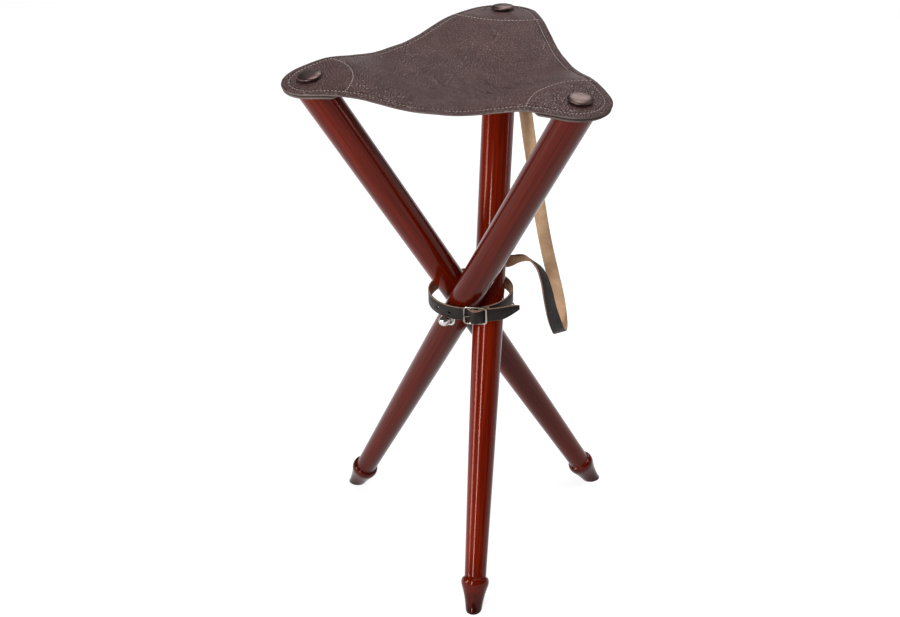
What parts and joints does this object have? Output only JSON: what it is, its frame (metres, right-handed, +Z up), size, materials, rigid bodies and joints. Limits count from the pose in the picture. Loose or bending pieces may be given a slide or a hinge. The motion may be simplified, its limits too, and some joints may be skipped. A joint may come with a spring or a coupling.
{
  "type": "tripod stool",
  "caption": "Folding tripod camp stool: turned legs crossing on a three-arm bolt, three-cornered leather sling seat on studs, buckled leather belt and carrying strap.",
  "frame": {"origin": "on the floor under the middle of the open stool's box", "axes": "+Z up; +X from the middle towards the arm of the back leg; -Y towards the viewer of the picture"},
  "size_m": [0.3491, 0.3765, 0.6048],
  "materials": {
    "stained_wood": "red-brown stain under gloss lacquer",
    "seat_leather": "dark brown grain leather",
    "strap_leather": "black-brown strap leather, tan flesh side",
    "bright_steel": "bright plated steel",
    "dark_bronze": "dark bronzed brass",
    "pale_brass": "pale polished brass"
  },
  "bodies": {
    "hub": {"tripod_bolt": "bright_steel", "washer_back": "bright_steel", "washer_left": "bright_steel", "washer_right": "bright_steel", "cap_nut_back": "bright_steel", "cap_nut_left": "bright_steel", "cap_nut_right": "bright_steel", "leg_belt": "strap_leather", "buckle_frame": "pale_brass", "belt_rivet": "pale_brass", "seat_panel": "seat_leather"},
    "leg_back": {"leg_back": "stained_wood", "stud_back": "dark_bronze", "carry_strap": "strap_leather", "strap_screw_top": "dark_bronze", "strap_screw_low": "dark_bronze"},
    "leg_left": {"leg_left": "stained_wood", "stud_left": "dark_bronze"},
    "leg_right": {"leg_right": "stained_wood", "stud_right": "dark_bronze"},
    "corner_back": {"corner_patch_back": "seat_leather"},
    "corner_left": {"corner_patch_left": "seat_leather"},
    "corner_right": {"corner_patch_right": "seat_leather"},
    "prong": {"buckle_prong": "pale_brass"}
  },
  "joints": [
    {"name": "fold_back", "type": "hinge", "parent": "hub", "child": "leg_back", "pos_m": [0.0104, -0.0056, 0.30245], "axis": [1, 0, 0], "range_deg": [0, 24], "deforming": ["seat_panel"]},
    {"name": "fold_left", "type": "hinge", "parent": "hub", "child": "leg_left", "pos_m": [0.0104, -0.0056, 0.30245], "axis": [-0.5, 0.866, 0], "range_deg": [0, 24]},
    {"name": "fold_right", "type": "hinge", "parent": "hub", "child": "leg_right", "pos_m": [0.0104, -0.0056, 0.30245], "axis": [-0.5, -0.866, 0], "range_deg": [0, 24]},
    {"name": "flex_back", "type": "hinge", "parent": "leg_back", "child": "corner_back", "pos_m": [0.0327, 0.13927, 0.59556], "axis": [-1, 0, 0], "range_deg": [0, 126.5], "deforming": ["corner_patch_back"]},
    {"name": "flex_left", "type": "hinge", "parent": "leg_left", "child": "corner_left", "pos_m": [-0.12621, -0.05872, 0.59556], "axis": [0.5, -0.866, 0], "range_deg": [0, 126.5], "deforming": ["corner_patch_left"]},
    {"name": "flex_right", "type": "hinge", "parent": "leg_right", "child": "corner_right", "pos_m": [0.12471, -0.09735, 0.59556], "axis": [0.5, 0.866, 0], "range_deg": [0, 126.5], "deforming": ["corner_patch_right"]},
    {"name": "prong_lift", "type": "hinge", "parent": "hub", "child": "prong", "pos_m": [0.02396, -0.05608, 0.31683], "axis": [0, 0, 1], "range_deg": [0, 8]}
  ],
  "couplings": [
    {"joint": "fold_left", "follows": "fold_back", "ratio": 1},
    {"joint": "fold_right", "follows": "fold_back", "ratio": 1},
    {"joint": "flex_back", "follows": "fold_back", "ratio": 5.25},
    {"joint": "flex_left", "follows": "fold_back", "ratio": 5.25},
    {"joint": "flex_right", "follows": "fold_back", "ratio": 5.25}
  ]
}
